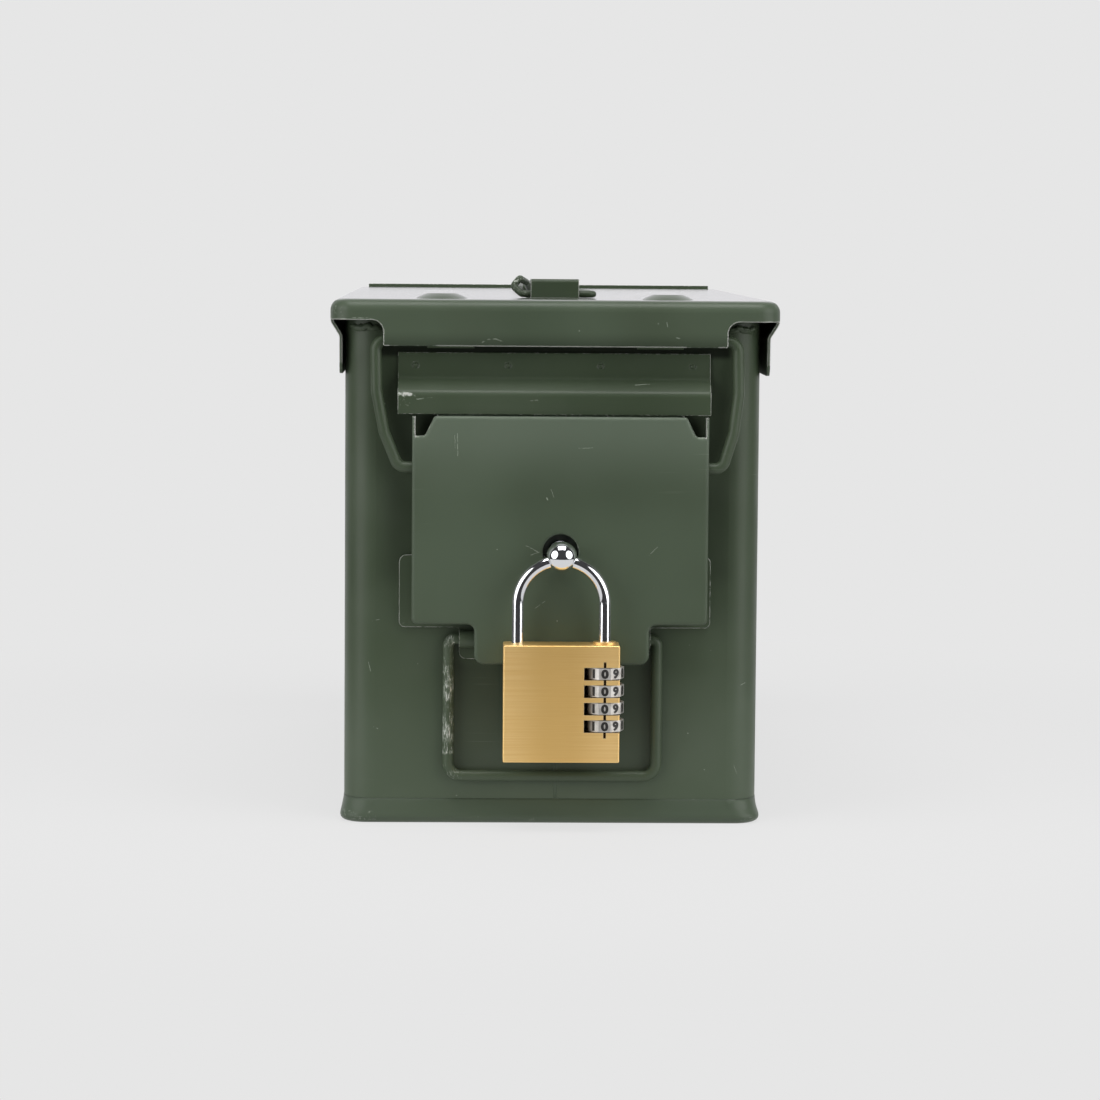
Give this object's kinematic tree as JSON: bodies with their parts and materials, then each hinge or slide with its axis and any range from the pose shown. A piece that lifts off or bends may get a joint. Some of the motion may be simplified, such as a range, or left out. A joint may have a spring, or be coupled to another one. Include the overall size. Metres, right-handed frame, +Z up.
{
  "type": "steel storage can with combination padlock",
  "caption": "Green painted steel ammunition-style can with a hinged lid, flip latch, wire handles and a locked brass combination padlock on a chrome stud.",
  "frame": {"origin": "centre of the can's base, on the surface it stands on", "axes": "+Z up, the latch end faces -Y, the hinge is at +Y, +X to the right seen from the latch end"},
  "size_m": [0.1549, 0.3221, 0.1897],
  "materials": {
    "can_paint": "semi-gloss green enamel, scuffed",
    "lid_paint": "semi-gloss green enamel, edges chipped to bare steel",
    "latch_paint": "semi-gloss green enamel, scuffed",
    "wire_paint": "green enamel worn off the wire",
    "gasket_rubber": "matt moulded rubber",
    "pin_steel": "zinc plated",
    "shackle_chrome": "polished",
    "lock_brass": "horizontally brushed",
    "dial_chrome": "satin with filled numerals"
  },
  "bodies": {
    "can": {"can_body": "can_paint", "bottom_pan": "can_paint", "body_hinge_leaf": "can_paint", "hinge_pin": "pin_steel", "catch_plate": "can_paint", "handle_keeper": "can_paint", "lock_stud": "shackle_chrome", "stud_washer": "pin_steel", "stud_nut": "pin_steel"},
    "lid": {"lid_shell": "lid_paint", "lid_gasket": "gasket_rubber", "lid_hinge_leaf": "lid_paint", "bail_clips": "lid_paint", "front_bracket": "lid_paint", "rear_bracket": "lid_paint"},
    "bail": {"latch_bail": "wire_paint"},
    "latch": {"latch_plate": "latch_paint"},
    "front_handle": {"front_handle": "wire_paint"},
    "front_link": {"front_link": "wire_paint"},
    "rear_link": {"rear_link": "wire_paint"},
    "grip": {"handle_grip": "lid_paint"},
    "shackle": {"shackle": "shackle_chrome"},
    "lock": {"lock_body": "lock_brass", "shackle_collar": "lock_brass", "lock_plug": "lock_brass", "detent_fingers": "pin_steel"},
    "dial_1": {"dial_1": "dial_chrome"},
    "dial_2": {"dial_2": "dial_chrome"},
    "dial_3": {"dial_3": "dial_chrome"},
    "dial_4": {"dial_4": "dial_chrome"}
  },
  "joints": [
    {"name": "lid_hinge", "type": "hinge", "parent": "can", "child": "lid", "pos_m": [0.0006, 0.1534, 0.17], "axis": [-1, 0, 0], "range_deg": [0, 110]},
    {"name": "bail_swing", "type": "hinge", "parent": "lid", "child": "bail", "pos_m": [0.0011, -0.1466, 0.1678], "axis": [-1, 0, 0], "range_deg": [0, 22]},
    {"name": "latch_pivot", "type": "hinge", "parent": "bail", "child": "latch", "pos_m": [0.0025, -0.1484, 0.1242], "axis": [-1, 0, 0], "range_deg": [-110, 0]},
    {"name": "front_handle_swing", "type": "hinge", "parent": "can", "child": "front_handle", "pos_m": [0.0004, -0.1453, 0.0646], "axis": [-1, 0, 0], "range_deg": [0, 100]},
    {"name": "carry_handle_lift", "type": "hinge", "parent": "lid", "child": "front_link", "pos_m": [0.0011, -0.106, 0.1832], "axis": [1, 0, 0], "range_deg": [0, 50]},
    {"name": "rear_link_fold", "type": "hinge", "parent": "lid", "child": "rear_link", "pos_m": [0.0011, 0.106, 0.1832], "axis": [1, 0, 0], "range_deg": [-50, 0]},
    {"name": "grip_pivot", "type": "hinge", "parent": "front_link", "child": "grip", "pos_m": [0.0011, -0.048, 0.1837], "axis": [1, 0, 0], "range_deg": [-50, 0]},
    {"name": "padlock_swing", "type": "hinge", "parent": "can", "child": "shackle", "pos_m": [0.0029, -0.1592, 0.09305], "axis": [-1, 0, 0], "range_deg": [0, 40]},
    {"name": "padlock_drop", "type": "slide", "parent": "shackle", "child": "lock", "axis": [0, 0, -1], "range_m": [0, 0.009]},
    {"name": "dial_1_turn", "type": "hinge", "parent": "lock", "child": "dial_1", "pos_m": [0.0178, -0.1592, 0.0549], "axis": [0, 0, 1], "continuous": true},
    {"name": "dial_2_turn", "type": "hinge", "parent": "lock", "child": "dial_2", "pos_m": [0.0178, -0.1592, 0.0489], "axis": [0, 0, 1], "continuous": true},
    {"name": "dial_3_turn", "type": "hinge", "parent": "lock", "child": "dial_3", "pos_m": [0.0178, -0.1592, 0.0429], "axis": [0, 0, 1], "continuous": true},
    {"name": "dial_4_turn", "type": "hinge", "parent": "lock", "child": "dial_4", "pos_m": [0.0178, -0.1592, 0.0369], "axis": [0, 0, 1], "continuous": true}
  ],
  "couplings": [
    {"joint": "bail_swing", "follows": "lid_hinge", "ratio": 0.2},
    {"joint": "latch_pivot", "follows": "lid_hinge", "ratio": -1},
    {"joint": "rear_link_fold", "follows": "carry_handle_lift", "ratio": -1},
    {"joint": "grip_pivot", "follows": "carry_handle_lift", "ratio": -1}
  ]
}
